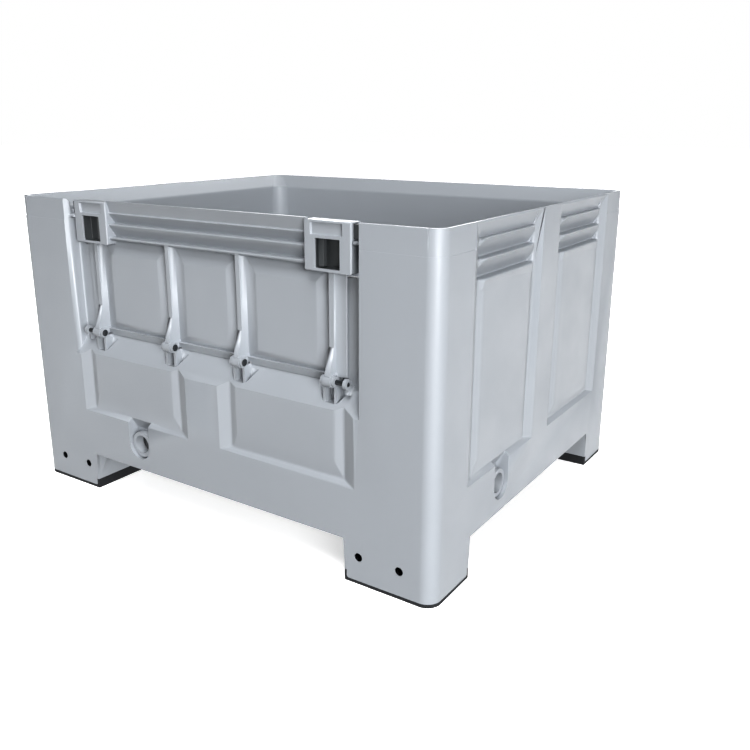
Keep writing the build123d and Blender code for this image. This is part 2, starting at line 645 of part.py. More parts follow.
def make_door():
    """The drop door: panelled bays between ribs, bottom rail, side strips, lip, latch frames and knuckles."""
    skin_d = WALL - DOOR_SKIN
    reach = LATCH_X0 + OVER
    half_rib = DOOR_RIB / 2
    door = block(-END_RIB_X - half_rib, END_RIB_X + half_rib, DOOR_RIB_D, WALL, DOOR_BOTTOM, LATCH_Z0)
    door += block(-reach, reach, DOOR_RIB_D, WALL, LATCH_Z0, DOOR_BAY_TOP + DOOR_BAND_RIB)
    for x0, x1 in zip(HINGE_X, HINGE_X[1:]):
        door -= door_bay(x0 + half_rib, x1 - half_rib)
    door += block(-DOOR_SKIN_X, DOOR_SKIN_X, skin_d, WALL, DOOR_BOTTOM, LATCH_Z0 + OVER)
    door += block(-reach, reach, skin_d, WALL, LATCH_Z0, HEIGHT - RIM_SLOPE)
    door += door_rail()
    door += door_band()
    door += door_lip()
    end = block(END_RIB_X, DOOR_X, STRIP_D, STOP_D - STOP_CLEAR, HINGE_Z + STRIP_LIFT, LATCH_Z0 + OVER)
    end += block(LATCH_X0, LATCH_X1, LATCH_D, WALL, LATCH_Z0, LATCH_Z1)
    for shape in both_sides(end):
        door += shape
    for shape in both_sides(latch_cutters()):
        door -= shape
    for x in HINGE_X:
        door += door_knuckle(x)
    for x in HINGE_X:
        door -= rod_along_x(PIN_R + PIN_FIT, HINGE_D, HINGE_Z, x - KNUCKLE_W, x + KNUCKLE_W)
    return WALL_PLACE["front"] * door


def make_hinge_pin(x):
    """A headed pin through one knuckle and its lugs; the end pins run on to the outer lugs."""
    reach = OUTER_LUG_X1 - END_RIB_X if abs(x) == END_RIB_X else LUG_X1
    pin = rod_along_x(PIN_R, HINGE_D, HINGE_Z, -reach, LUG_X1)
    pin += rod_along_x(PIN_HEAD_R, HINGE_D, HINGE_Z, LUG_X1, LUG_X1 + PIN_HEAD)
    if x == END_RIB_X:
        pin = mirror(pin, about=Plane.YZ)
    return WALL_PLACE["front"] * Pos(x, 0, 0) * pin


def latch_cup():
    """The finger cup behind the right-hand window, slotted on top for the grip's arm."""
    back = CUP_D + CUP_DEPTH
    cup = block(WINDOW_X0 - CUP_WALL, WINDOW_X1 + CUP_WALL, CUP_D, back,
                WINDOW_Z0 - CUP_WALL, WINDOW_Z1 + CUP_WALL)
    cup -= block(WINDOW_X0, WINDOW_X1, 0, back - CUP_WALL, WINDOW_Z0, WINDOW_Z1)
    slot_x0 = GRIP_X0 - LATCH_FIT
    slot_x1 = GRIP_X1 + BOLT_TRAVEL + LATCH_FIT
    return cup - block(slot_x0, slot_x1, BOLT_D0 - LATCH_FIT, BOLT_D0 + GRIP_T + LATCH_FIT,
                       WINDOW_Z1 - OVER, WINDOW_Z1 + CUP_WALL + OVER)


def latch_cover():
    """The plate that closes the right-hand latch bay inside the door."""
    plate = block(BAY_X0 - COVER_LAP, BAY_X1 + COVER_LAP, COVER_D, WALL, BAY_Z0 - COVER_LAP, LATCH_Z1)
    for x, z in cover_screws():
        plate -= rod_along_d(SCREW_R, x, z, COVER_D - OVER, WALL + OVER)
        plate -= rod_along_d(SCREW_HEAD_R, x, z, WALL - SCREW_HEAD, WALL + OVER)
    return plate


def latch_screws():
    """The four pan screws of the right-hand cover, heads sunk flush."""
    screws = []
    for x, z in cover_screws():
        shank = rod_along_d(SCREW_R, x, z, WALL - SCREW_LENGTH, WALL - SCREW_HEAD)
        screws.append(shank + rod_along_d(SCREW_HEAD_R, x, z, WALL - SCREW_HEAD, WALL))
    return screws


def latch_bolt():
    """The right-hand slide: bolt bar above, arm through the cup, grip in the finger cup."""
    bolt = block(GRIP_X0 - CUP_WALL, BOLT_TIP, BOLT_D0, BOLT_D1, BOLT_Z0, BOLT_Z1)
    arm = block(GRIP_X0, GRIP_X1, BOLT_D0, BOLT_D0 + GRIP_T, WINDOW_Z1 - GRIP_END - OVER, BOLT_Z0 + OVER)
    grip = block(GRIP_X0, GRIP_X1, BOLT_D0, BOLT_D0 + GRIP_T, WINDOW_Z0 + GRIP_END, WINDOW_Z1 - GRIP_END)
    return bolt + arm + grip


def drain_plug(u):
    """A push-in drain plug with a grip bar, grooved for its seal."""
    radius = DRAIN_BORE_R - PLUG_FIT
    face = DRAIN_COLLAR_D + PLUG_SET
    plug = rod_along_d(radius, u, DRAIN_Z, face, WALL)
    plug += block(u - PLUG_GRIP_W / 2, u + PLUG_GRIP_W / 2, face - PLUG_GRIP, face + OVER,
                  DRAIN_Z - radius + PLUG_GRIP_W, DRAIN_Z + radius - PLUG_GRIP_W)
    groove = seal_ring(u, SEAL_R + SEAL_SEAT)
    return plug - groove


def seal_ring(u, section):
    """A ring of round section that sits in the plug and stops just short of the bore."""
    middle = (DRAIN_COLLAR_D + PLUG_SET + WALL) / 2
    radius = DRAIN_BORE_R - SEAL_FIT - SEAL_R
    return Pos(u, middle, DRAIN_Z) * Rot(90, 0, 0) * Torus(radius, section)


def make_shoe(sx, sy):
    """The wear shoe of one foot: plate, lips up the inner sides, lugs inside the foot."""
    shoe = plan(0, CORNER_R, 0, SHOE_LIP) & foot_block(sx, sy, 0, 0, SHOE_LIP)
    shoe -= foot_block(sx, sy, SHOE_LIP_T, SHOE, SHOE_LIP + OVER)
    y_skin = sy * (WIDTH / 2 - SKIN)
    for x in FOOT_SCREW_X:
        middle = sx * (LENGTH / 2 - x)
        shoe += block(middle - SHOE_LUG / 2, middle + SHOE_LUG / 2, y_skin, y_skin - sy * SHOE_LUG,
                      0, FOOT_SCREW_Z + SHOE_LUG_OVER)
        bore = rod_along_d(FOOT_SCREW_R, 0, FOOT_SCREW_Z, SKIN - OVER, SKIN + FOOT_SCREW_LENGTH)
        shoe -= foot_screw_place(sx, sy, x) * bore
    return shoe


def foot_screw_place(sx, sy, x):
    """Where a screw enters a foot, x from the end of the container."""
    return Pos(sx * (LENGTH / 2 - x), sy * WIDTH / 2, 0) * Rot(0, 0, 90 + 90 * sy)


def foot_screws(sx, sy):
    """The two socket screws that lock one shoe."""
    head_d0 = SKIN - FOOT_SCREW_HEAD
    socket = Pos(0, head_d0, FOOT_SCREW_Z) * Rot(90, 0, 0) * extrude(RegularPolygon(HEX_R, 6), -HEX_D)
    screw = rod_along_d(FOOT_SCREW_HEAD_R, 0, FOOT_SCREW_Z, head_d0, SKIN)
    screw += rod_along_d(FOOT_SCREW_R, 0, FOOT_SCREW_Z, SKIN, SKIN + FOOT_SCREW_LENGTH)
    return [foot_screw_place(sx, sy, x) * (screw - socket) for x in FOOT_SCREW_X]


def save(name, shape):
    """Write one node; a list of solids becomes a group."""
    if isinstance(shape, list):
        shape = Compound(children=[solid for item in shape for solid in item.solids()])
    export_step(shape, os.path.join("parts", name + ".step"))


def main():
    os.makedirs("parts", exist_ok=True)
    save("tub", make_tub())
    save("drop_door", make_door())
    for number, x in enumerate(HINGE_X, start=1):
        save(f"hinge_pin_{number}", make_hinge_pin(x))
    front = WALL_PLACE["front"]
    for piece, make in (("latch_cup", latch_cup), ("latch_cover", latch_cover), ("latch_bolt", latch_bolt)):
        right, left = both_sides(make())
        save(piece + "_right", front * right)
        save(piece + "_left", front * left)
    screws = latch_screws()
    save("latch_screws_right", [front * screw for screw in screws])
    save("latch_screws_left", [front * mirror(screw, about=Plane.YZ) for screw in screws])
    for name, wall, u in (("front", "front", DRAIN_FRONT_X), ("side", "right", DRAIN_SIDE_Y)):
        save("drain_plug_" + name, WALL_PLACE[wall] * drain_plug(u))
        save("drain_seal_" + name, WALL_PLACE[wall] * seal_ring(u, SEAL_R))
    for name, (sx, sy) in CORNERS.items():
        save("shoe_" + name, make_shoe(sx, sy))
        save("shoe_screws_" + name, foot_screws(sx, sy))


main()
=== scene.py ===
import json
from math import cos, pi, radians, sin

import bmesh
import bpy
import numpy as np
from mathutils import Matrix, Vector


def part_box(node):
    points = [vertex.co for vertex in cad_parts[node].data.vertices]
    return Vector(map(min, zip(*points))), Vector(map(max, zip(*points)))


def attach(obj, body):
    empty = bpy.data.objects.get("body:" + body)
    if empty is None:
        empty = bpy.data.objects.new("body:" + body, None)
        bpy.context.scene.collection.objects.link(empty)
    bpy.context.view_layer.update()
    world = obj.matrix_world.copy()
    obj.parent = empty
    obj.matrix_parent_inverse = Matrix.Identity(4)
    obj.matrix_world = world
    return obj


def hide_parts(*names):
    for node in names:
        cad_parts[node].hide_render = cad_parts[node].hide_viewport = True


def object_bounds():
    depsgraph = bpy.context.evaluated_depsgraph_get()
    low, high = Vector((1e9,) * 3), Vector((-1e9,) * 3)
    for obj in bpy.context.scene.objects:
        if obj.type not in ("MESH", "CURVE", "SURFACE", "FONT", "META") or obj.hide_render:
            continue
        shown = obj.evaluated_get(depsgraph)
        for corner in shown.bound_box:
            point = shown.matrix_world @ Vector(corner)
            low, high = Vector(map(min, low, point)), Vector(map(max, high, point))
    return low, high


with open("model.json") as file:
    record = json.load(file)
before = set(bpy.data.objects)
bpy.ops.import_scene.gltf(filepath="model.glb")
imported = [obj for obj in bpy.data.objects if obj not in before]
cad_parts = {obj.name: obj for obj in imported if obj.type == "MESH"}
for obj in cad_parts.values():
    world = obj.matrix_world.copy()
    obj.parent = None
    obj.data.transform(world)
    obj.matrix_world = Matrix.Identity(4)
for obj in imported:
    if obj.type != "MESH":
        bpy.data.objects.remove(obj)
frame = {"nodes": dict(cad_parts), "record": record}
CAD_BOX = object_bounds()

bl_info = {
    "name": "Harvest Container Finish",
    "version": (1, 0, 0),
    "blender": (4, 5, 0),
    "location": "3D View > Sidebar > Container",
    "description": "Rounds and finishes the mouldings and fittings of a bulk harvest container",
    "category": "Object",
}

MM = 0.001
PIN_COUNT = 4
SIDES = ("left", "right")
DRAINS = ("front", "side")
CORNERS = ("front_left", "front_right", "back_left", "back_right")

# Corners of a CAD mesh that are closer than this are one, and faces that turn by less than this are merged
SAME_CORNER = 0.01 * MM
FLAT = radians(0.6)
# Edges that turn by more than this get a rounding; the flat steps of a curved face turn by less
FOLD = radians(11.5)
# Steps in a rounding
EDGE_STEPS = 3
# A neighbour edge that turns by less than this carries on, and by less than the second one it is in line
STRAIGHT = cos(radians(30))
IN_LINE = cos(radians(1))
# How much of its own length a rounding may reach from a curved edge, such as a bore's mouth
CURVE_SHARE = 0.3
# How much of a neighbouring edge a rounding may use, where that edge is rounded too and where it isn't
SHARED_ROOM = 0.45
WHOLE_ROOM = 0.9
# A rounding that finds less than this part of its radius is left out
LEAST_ROOM = 0.5
# The room of a rounding that nothing limits
OPEN_ROOM = 1.0

# Turned pieces: points round a shaft, round a seal ring and round that ring's section, and rings in a dome
SHAFT_SIDES = 48
RING_SIDES = 96
SECTION_SIDES = 24
DOME_STEPS = 6
# Points of a turned piece that are closer than this are one
SAME_POINT = 0.001 * MM
# Edges of a turned piece that turn by less than this are smooth
SMOOTH = radians(35)
# How much of a screw head's height its socket takes
SOCKET_SHARE = 0.55
# Decimals of a metre to which the rows of screws are told apart
PLACE_DECIMALS = 6

# Noise of scale NOISE_SHARE / width has blobs about one width across
NOISE_SHARE = 0.5
NOISE_DETAIL = 2.0
# Most of the noise's values lie between these two
NOISE_LOW = 0.3
NOISE_HIGH = 0.7
# How far a grain moves the roughness either way, and how strongly it stands up
GLOSS_DRIFT = 0.08
GRAIN_STRENGTH = 0.6
# Grey polyethylene: width of its clouds, gloss patches, sink marks and grain, and what each one does
CLOUD_WIDTH = 160 * MM
CLOUD_SHADES = (0.97, 1.03)
PATCH_WIDTH = 45 * MM
PATCH_GLOSS = (0.36, 0.46)
SINK_WIDTH = 120 * MM
SINK_DEPTH = 2 * MM
SINK_DETAIL = 1.0
SINK_STRENGTH = 0.5
MOULD_WIDTH = 3 * MM
MOULD_DEPTH = 0.1 * MM
FLOOR_ROUGH = 0.9
WHITE = (1.0, 1.0, 1.0, 1.0)


def linear(code):
    """An sRGB hex colour as linear colours: ((c + 0.055) / 1.055) ** 2.4, and c / 12.92 near black."""
    srgb = np.array([int(code[i:i + 2], 16) for i in (0, 2, 4)]) / 255
    return tuple(np.where(srgb <= 0.04045, srgb / 12.92, ((srgb + 0.055) / 1.055) ** 2.4).tolist())


def length_setting(name, description, millimetres):
    """A length in the panel, kept in metres."""
    return bpy.props.FloatProperty(name=name, description=description, default=millimetres * MM,
                                   unit="LENGTH", precision=4)


def colour_setting(name, description, code):
    """A colour in the panel, from its sRGB hex value."""
    return bpy.props.FloatVectorProperty(name=name, description=description, default=linear(code),
                                         subtype="COLOR", size=3, min=0.0, max=1.0)


def angle_setting(name, description, degrees):
    """An angle in the panel, kept in radians."""
    return bpy.props.FloatProperty(name=name, description=description, default=radians(degrees),
                                   subtype="ANGLE")


def plain_setting(name, description, value):
    """A number without a unit in the panel."""
    return bpy.props.FloatProperty(name=name, description=description, default=value)


def power_setting(name, description, watts):
    """A lamp's power in the panel, in watts."""
    return bpy.props.FloatProperty(name=name, description=description, default=watts, unit="POWER")


class ContainerSizes(bpy.types.PropertyGroup):
    """Radii of the moulded edges and sizes of the turned fixings."""

    tub_edge: length_setting("Tub edge", "Radius on the tub's corners", 5.0)
    door_edge: length_setting("Door edge", "Radius on the door's corners", 3.5)
    fitting_edge: length_setting("Fitting edge", "Radius on latch parts, covers and plugs", 1.0)
    shoe_edge: length_setting("Shoe edge", "Radius on the wear shoes", 2.5)
    pin_radius: length_setting("Pin radius", "Radius of a hinge pin's shank", 5.0)
    pin_head: length_setting("Pin head", "Length of a hinge pin's domed head", 2.5)
    shoe_screw_radius: length_setting("Shoe screw head", "Radius of a shoe screw's head", 9.0)
    shoe_screw_height: length_setting("Shoe screw height", "Height of a shoe screw's head", 4.5)
    shoe_screw_shank: length_setting("Shoe screw shank", "Radius of a shoe screw's shank", 5.0)
    shoe_screw_hex: length_setting("Shoe screw socket", "Radius of a shoe screw's hexagon socket", 4.6)
    shoe_screw_chamfer: length_setting("Shoe screw chamfer", "Chamfer on a shoe screw's head", 0.8)
    cover_screw_radius: length_setting("Cover screw head", "Radius of a cover screw's head", 3.4)
    cover_screw_height: length_setting("Cover screw height", "Height of a cover screw's head", 1.6)
    cover_screw_shank: length_setting("Cover screw shank", "Radius of a cover screw's shank", 1.75)
    cover_screw_hex: length_setting("Cover screw socket", "Radius of a cover screw's hexagon socket", 1.5)
    cover_screw_chamfer: length_setting("Cover screw chamfer", "Chamfer on a cover screw's head", 0.4)
    seal_radius: length_setting("Seal section", "Radius of a seal ring's round section", 2.0)


class ContainerColours(bpy.types.PropertyGroup):
    """Base colours of the finishes."""

    grey: colour_setting("Container grey", "Moulded grey of the tub and the door", "A1A5AA")
    latch: colour_setting("Latch black", "Nylon of the finger cups and bolts", "484B4D")
    pin: colour_setting("Pin black", "Acetal of the hinge pins", "303336")
    plug: colour_setting("Plug black", "Moulded drain plugs", "383B3E")
    seal: colour_setting("Seal rubber", "Nitrile of the seal rings", "202122")
    shoe: colour_setting("Shoe rubber", "Rubber of the wear shoes", "232528")
    steel: colour_setting("Stainless steel", "Screws of the latch covers", "C4C5C8")
    oxide: colour_setting("Black oxide", "Screws of the wear shoes", "2B2D31")
    floor: colour_setting("Floor", "Pale studio floor", "F4F4F4")


class ContainerStage(bpy.types.PropertyGroup):
    """The studio round the container: soft boxes, the air's glow and the camera."""

    key_power: power_setting("Key box", "Soft box to the right of the camera", 1400.0)
    key_turn: angle_setting("Key turn", "How far the key box stands round to the right", 52.0)
    key_lift: angle_setting("Key lift", "How high the key box stands", 10.0)
    top_power: power_setting("Top box", "Soft box high over the front", 880.0)
    top_turn: angle_setting("Top turn", "How far the top box stands round to the right", 25.0)
    top_lift: angle_setting("Top lift", "How high the top box stands", 62.0)
    back_power: power_setting("Back box", "Soft box behind the container", 700.0)
    back_turn: angle_setting("Back turn", "How far the back box stands round to the right", -150.0)
    back_lift: angle_setting("Back lift", "How high the back box stands", 30.0)
    box_size: length_setting("Box size", "Width of a soft box", 5000.0)
    box_distance: length_setting("Box distance", "From the container's middle to a soft box", 10000.0)
    sky_glow: plain_setting("Sky glow", "Strength of the air's light from above", 0.06)
    ground_glow: plain_setting("Ground glow", "Strength of the air's light from below", 0.06)
    backdrop_glow: plain_setting("Backdrop glow", "How bright the air looks to the camera", 1.0)
    # The floor's own glow is painted light: dimmer near the container, brighter far from it
    near_glow: plain_setting("Near glow", "The floor's own light under the container", 0.75)
    far_glow: plain_setting("Far glow", "The floor's own light far from the container", 1.1)
    near_reach: length_setting("Near reach", "From the floor's middle to where its glow rises", 1000.0)
    far_reach: length_setting("Far reach", "From the floor's middle to where its glow is full", 3000.0)
    floor_reach: length_setting("Floor reach", "From the floor's middle to its edge", 30000.0)
    picture_gamma: plain_setting("Picture gamma", "Contrast of the finished picture", 0.7)
    camera_place: bpy.props.FloatVectorProperty(name="Camera place", description="Where the camera stands",
                                                default=(1.263, -1.719, 0.915), subtype="TRANSLATION")
    camera_tilt: angle_setting("Camera tilt", "How far the camera looks down", 16.0)
    camera_turn: angle_setting("Camera turn", "How far the camera stands round to the right", 34.23)
    camera_lens: bpy.props.FloatProperty(name="Camera lens", description="Focal length", default=39.05,
                                         subtype="DISTANCE_CAMERA")
    camera_shift: bpy.props.FloatVectorProperty(name="Camera shift", description="Shift to the side and up",
                                                default=(0.0177, -0.0264), size=2)


def node(tree, kind, inputs=None, **settings):
    """Add one node: settings are its attributes, inputs maps a socket to a value or to another socket."""
    made = tree.nodes.new(kind)
    for name, value in settings.items():
        setattr(made, name, value)
    for socket, value in (inputs or {}).items():
        if isinstance(value, bpy.types.NodeSocket):
            tree.links.new(value, made.inputs[socket])
        else:
            made.inputs[socket].default_value = value
    return made


def new_material(name, **constants):
    """A material with one Principled shader, constants on its own sockets, and Object coordinates."""
    material = bpy.data.materials.new(name)
    material.use_nodes = True
    tree = material.node_tree
    shader = tree.nodes["Principled BSDF"]
    for socket, value in constants.items():
        shader.inputs[socket.replace("_", " ")].default_value = value
    place = node(tree, "ShaderNodeTexCoord").outputs["Object"]
    return material, tree, shader, place


def grained(name, colour, rough, grain, drift, height, **constants):
    """A surface whose grain drifts its colour, breaks up its gloss and stands up by height.

    Colour runs from 1 - drift to 1 + drift of the base, and roughness from rough - GLOSS_DRIFT to
    rough + GLOSS_DRIFT.
    """
    material, tree, shader, place = new_material(name, **constants)
    noise = node(tree, "ShaderNodeTexNoise", {"Vector": place, "Scale": NOISE_SHARE / grain,
                                              "Detail": NOISE_DETAIL}).outputs["Fac"]
    low, high = ([min(1.0, c * shade) for c in colour] + [1.0] for shade in (1 - drift, 1 + drift))
    tint = node(tree, "ShaderNodeMix", {"Factor": noise, "A": low, "B": high}, data_type="RGBA")
    tree.links.new(tint.outputs["Result"], shader.inputs["Base Color"])
    gloss = node(tree, "ShaderNodeMapRange", {"Value": noise, "From Min": NOISE_LOW, "From Max": NOISE_HIGH,
                                              "To Min": rough - GLOSS_DRIFT, "To Max": rough + GLOSS_DRIFT})
    tree.links.new(gloss.outputs["Result"], shader.inputs["Roughness"])
    bump = node(tree, "ShaderNodeBump", {"Height": noise, "Distance": height, "Strength": GRAIN_STRENGTH})
    tree.links.new(bump.outputs["Normal"], shader.inputs["Normal"])
    return material


def grey_hdpe(name, colours):
    """Injection-moulded high-density polyethylene."""
    # Satin and slightly cloudy, with broad sink marks spread over the whole surface and a fine eroded mould
    # grain.
    # The real grain is about 0.5 mm wide; it is drawn 3 mm wide so that it shows at this distance.
    material, tree, shader, place = new_material(name, IOR=1.54)
    cloud, patch, sink, grain = (
        node(tree, "ShaderNodeTexNoise", {"Vector": place, "Scale": NOISE_SHARE / width,
                                          "Detail": detail}).outputs["Fac"]
        for width, detail in ((CLOUD_WIDTH, NOISE_DETAIL), (PATCH_WIDTH, NOISE_DETAIL),
                              (SINK_WIDTH, SINK_DETAIL), (MOULD_WIDTH, NOISE_DETAIL)))
    dark, light = ([c * shade for c in colours.grey] + [1.0] for shade in CLOUD_SHADES)
    tint = node(tree, "ShaderNodeMix", {"Factor": cloud, "A": dark, "B": light}, data_type="RGBA")
    tree.links.new(tint.outputs["Result"], shader.inputs["Base Color"])
    least, most = PATCH_GLOSS
    gloss = node(tree, "ShaderNodeMapRange", {"Value": patch, "From Min": NOISE_LOW, "From Max": NOISE_HIGH,
                                              "To Min": least, "To Max": most})
    tree.links.new(gloss.outputs["Result"], shader.inputs["Roughness"])
    broad = node(tree, "ShaderNodeBump", {"Height": sink, "Distance": SINK_DEPTH, "Strength": SINK_STRENGTH})
    fine = node(tree, "ShaderNodeBump", {"Height": grain, "Distance": MOULD_DEPTH, "Strength": GRAIN_STRENGTH,
                                         "Normal": broad.outputs["Normal"]})
    tree.links.new(fine.outputs["Normal"], shader.inputs["Normal"])
    return material


def black_nylon(name, colours):
    """Glass-filled nylon, moulded."""
    # Deep black with a faint mottle from the fibres, half matt
    return grained(name, colours.latch, rough=0.45, grain=2 * MM, drift=0.15, height=0.1 * MM,
                   IOR=1.53)


def black_acetal(name, colours):
    """Turned acetal rod."""
    # Smooth and slick, so a pin's end keeps a small clear glint
    return grained(name, colours.pin, rough=0.32, grain=2 * MM, drift=0.1, height=0.05 * MM,
                   IOR=1.48)


def black_hdpe(name, colours):
    """Moulded black polyethylene."""
    # Waxy: softer gloss than the nylon, with a broader mottle
    return grained(name, colours.plug, rough=0.5, grain=2.5 * MM, drift=0.12, height=0.1 * MM,
                   IOR=1.54)


def nitrile(name, colours):
    """Moulded nitrile rubber."""
    # Dull black with hardly any glint
    return grained(name, colours.seal, rough=0.62, grain=1.5 * MM, drift=0.15, height=0.05 * MM,
                   IOR=1.52)


def wear_rubber(name, colours):
    """Ground-contact rubber."""
    # Dry and scuffed, with a coarse tooth that greys its edges
    return grained(name, colours.shoe, rough=0.78, grain=3 * MM, drift=0.2, height=0.2 * MM,
                   IOR=1.52)


def stainless_steel(name, colours):
    """Cold-headed stainless steel."""
    # Bright metal with fine forming marks
    return grained(name, colours.steel, rough=0.28, grain=1.2 * MM, drift=0.06, height=0.03 * MM,
                   Metallic=1.0)


def black_oxide(name, colours):
    """Black-oxide steel."""
    # Blue-black and oily, with a soft metal sheen
    return grained(name, colours.oxide, rough=0.4, grain=1.2 * MM, drift=0.1, height=0.03 * MM,
                   Metallic=0.6)


FINISHES = {
    "container_grey": ("moulded_hdpe_grey", grey_hdpe),
    "latch_black": ("filled_nylon_black", black_nylon),
    "pin_black": ("acetal_black", black_acetal),
    "plug_black": ("moulded_hdpe_black", black_hdpe),
    "seal_rubber": ("nitrile_rubber", nitrile),
    "shoe_rubber": ("wear_rubber", wear_rubber),
    "screw_steel": ("stainless_steel", stainless_steel),
    "screw_black": ("black_oxide_steel", black_oxide),
}


def stand_for(piece, node_name):
    """The piece takes the place, body, slot and finish of a CAD node."""
    record = frame["record"]
    body = next(b for b, members in record["behaviour"]["bodies"].items() if node_name in members)
    slot = next(p["material_slot"] for p in record["subparts"] if p["node"] == node_name)
    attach(piece, body)
    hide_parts(node_name)
    finish, make = FINISHES[slot]
    made = bpy.data.materials.get(finish) or make(finish, bpy.context.scene.container_colours)
    piece.data.materials.append(made)


def room_at(edge, loop, folds):
    """How far a rounding of this edge may reach into one face.

    It is the least of these: a share of each neighbouring edge there, a share of the distance to each other
    corner of the face that lies beside the edge, and on a curved run a share of the edge's own length.
    """
    rooms = []
    ahead = loop.link_loop_next
    for vertex, other in ((loop.vert, loop.link_loop_prev.edge), (ahead.vert, ahead.edge)):
        here = (edge.other_vert(vertex).co - vertex.co).normalized()
        away = (other.other_vert(vertex).co - vertex.co).normalized()
        for after in vertex.link_edges:
            turn = here.dot((after.other_vert(vertex).co - vertex.co).normalized())
            if after in folds and -IN_LINE < turn < -STRAIGHT:
                rooms.append(CURVE_SHARE * edge.calc_length())
        if here.dot(away) < -STRAIGHT:
            continue
        share = SHARED_ROOM if other in folds else WHOLE_ROOM
        # A rounding w wide takes w / sin(angle) of the neighbour's length
        rooms.append(share * other.calc_length() * here.cross(away).length)
    span = edge.calc_length()
    along = (ahead.vert.co - loop.vert.co) / span
    for vertex in loop.face.verts:
        reach = vertex.co - loop.vert.co
        if 0.0 < reach.dot(along) < span and vertex not in edge.verts:
            rooms.append(SHARED_ROOM * reach.cross(along).length)
    return min(rooms, default=OPEN_ROOM)


def rounded_copy(node_name, radius):
    """A merged copy of a CAD node, with each fold rounded as far as it has room."""
    bm = bmesh.new()
    bm.from_mesh(frame["nodes"][node_name].data)
    bmesh.ops.remove_doubles(bm, verts=bm.verts, dist=SAME_CORNER)
    bmesh.ops.dissolve_limit(bm, angle_limit=FLAT, verts=bm.verts, edges=bm.edges)
    weight = bm.edges.layers.float.new("bevel_weight_edge")
    folds = {e for e in bm.edges if len(e.link_faces) == 2 and e.calc_face_angle() > FOLD}
    for edge in folds:
        room = min(room_at(edge, loop, folds) for loop in edge.link_loops)
        if room > LEAST_ROOM * radius:
            edge[weight] = min(1.0, room / radius)
        edge.smooth = edge[weight] > 0.0
    for face in bm.faces:
        face.smooth = True
    mesh = bpy.data.meshes.new(node_name + "_rounded")
    bm.to_mesh(mesh)
    bm.free()
    piece = bpy.data.objects.new(mesh.name, mesh)
    bpy.context.scene.collection.objects.link(piece)
    bevel = piece.modifiers.new("moulded_edges", "BEVEL")
    bevel.limit_method = "WEIGHT"
    bevel.width = radius
    bevel.segments = EDGE_STEPS
    bevel.offset_type = "ABSOLUTE"
    bevel.use_clamp_overlap = False
    bevel.harden_normals = False
    normals = piece.modifiers.new("flat_faces", "WEIGHTED_NORMAL")
    normals.keep_sharp = True
    stand_for(piece, node_name)
    return piece


def turned(stations, centre, axis, sides=SHAFT_SIDES):
    """Points of a turned shape on a grid, with the faces that join them.

    Each station is (s, r, h): s along the axis from centre, r the radius, h 1 where the ring is a hexagon
    and 0 where it is round. The ring's point at angle t lies at r * (1 + h * (f - 1)), where
    f = cos(pi / 6) / cos(t mod (pi / 3) - pi / 6) is a hexagon of corner radius 1.
    """
    s, r, h = np.array(stations).T[:, :, None]
    t = np.linspace(0, 2 * pi, sides, endpoint=False)[None, :]
    hexagon = cos(pi / 6) / np.cos(t % (pi / 3) - pi / 6)
    ring = r * (1 + h * (hexagon - 1))
    along = np.array(axis, dtype=float)
    up = np.array((0.0, 0.0, 1.0))
    across = np.cross(up, along)
    grid = (np.array(centre) + s[..., None] * along + (ring * np.cos(t))[..., None] * across
            + (ring * np.sin(t))[..., None] * up)
    return grid.reshape(-1, 3), grid_faces(len(stations), sides)


def grid_faces(rows, columns, closed=False):
    """Quads of a grid whose rows are rings; closed joins the last row to the first too."""
    i, j = np.meshgrid(np.arange(rows if closed else rows - 1), np.arange(columns), indexing="ij")
    ahead = (i + 1) % rows
    beside = (j + 1) % columns
    corners = (i * columns + j, i * columns + beside, ahead * columns + beside, ahead * columns + j)
    return np.stack(corners, axis=-1).reshape(-1, 4)


def grid_piece(name, grids):
    """One mesh object from several grids: poles merged, faces outwards, smooth but at its corners."""
    points = np.concatenate([g[0] for g in grids])
    starts = np.cumsum([0] + [len(g[0]) for g in grids])
    faces = np.concatenate([g[1] + start for g, start in zip(grids, starts)])
    mesh = bpy.data.meshes.new(name)
    mesh.from_pydata(points.tolist(), [], faces.tolist())
    bm = bmesh.new()
    bm.from_mesh(mesh)
    bmesh.ops.remove_doubles(bm, verts=bm.verts, dist=SAME_POINT)
    bmesh.ops.recalc_face_normals(bm, faces=bm.faces)
    for face in bm.faces:
        face.smooth = True
    for edge in bm.edges:
        edge.smooth = edge.calc_face_angle(0.0) < SMOOTH
    bm.to_mesh(mesh)
    bm.free()
    piece = bpy.data.objects.new(name, mesh)
    bpy.context.scene.collection.objects.link(piece)
    return piece


def dome(s0, s1, radius):
    """Stations of a domed end from a full radius at s0 to the axis at s1: a quarter ellipse."""
    a = np.linspace(0, pi / 2, DOME_STEPS)
    return np.stack([s0 + (s1 - s0) * np.sin(a), radius * np.cos(a), 0 * a], axis=1).tolist()


def socket_screw(head_s, radius, shank_s, shank, hexagon, chamfer):
    """Stations of a screw: a shank from shank_s, and a head up to head_s with a hexagon socket."""
    depth = SOCKET_SHARE * head_s
    under = [(shank_s, 0, 0), (shank_s, shank, 0), (0, shank, 0)]
    rim = [(0, radius, 0), (head_s - chamfer, radius, 0), (head_s, radius - chamfer, 0)]
    socket = [(head_s, hexagon + chamfer / 2, 0), (head_s, hexagon, 1), (head_s - depth, hexagon, 1),
              (head_s - depth, 0, 1)]
    return under + rim + socket


class CONTAINER_OT_tub(bpy.types.Operator):
    """Round and finish the moulded tub"""

    bl_idname = "container.tub"
    bl_label = "Finish Tub"

    def execute(self, context):
        sizes = context.scene.container_sizes
        rounded_copy("tub", sizes.tub_edge)
        return {"FINISHED"}


class CONTAINER_OT_door(bpy.types.Operator):
    """Round and finish the drop door"""

    bl_idname = "container.door"
    bl_label = "Finish Door"

    def execute(self, context):
        sizes = context.scene.container_sizes
        rounded_copy("drop_door", sizes.door_edge)
        return {"FINISHED"}


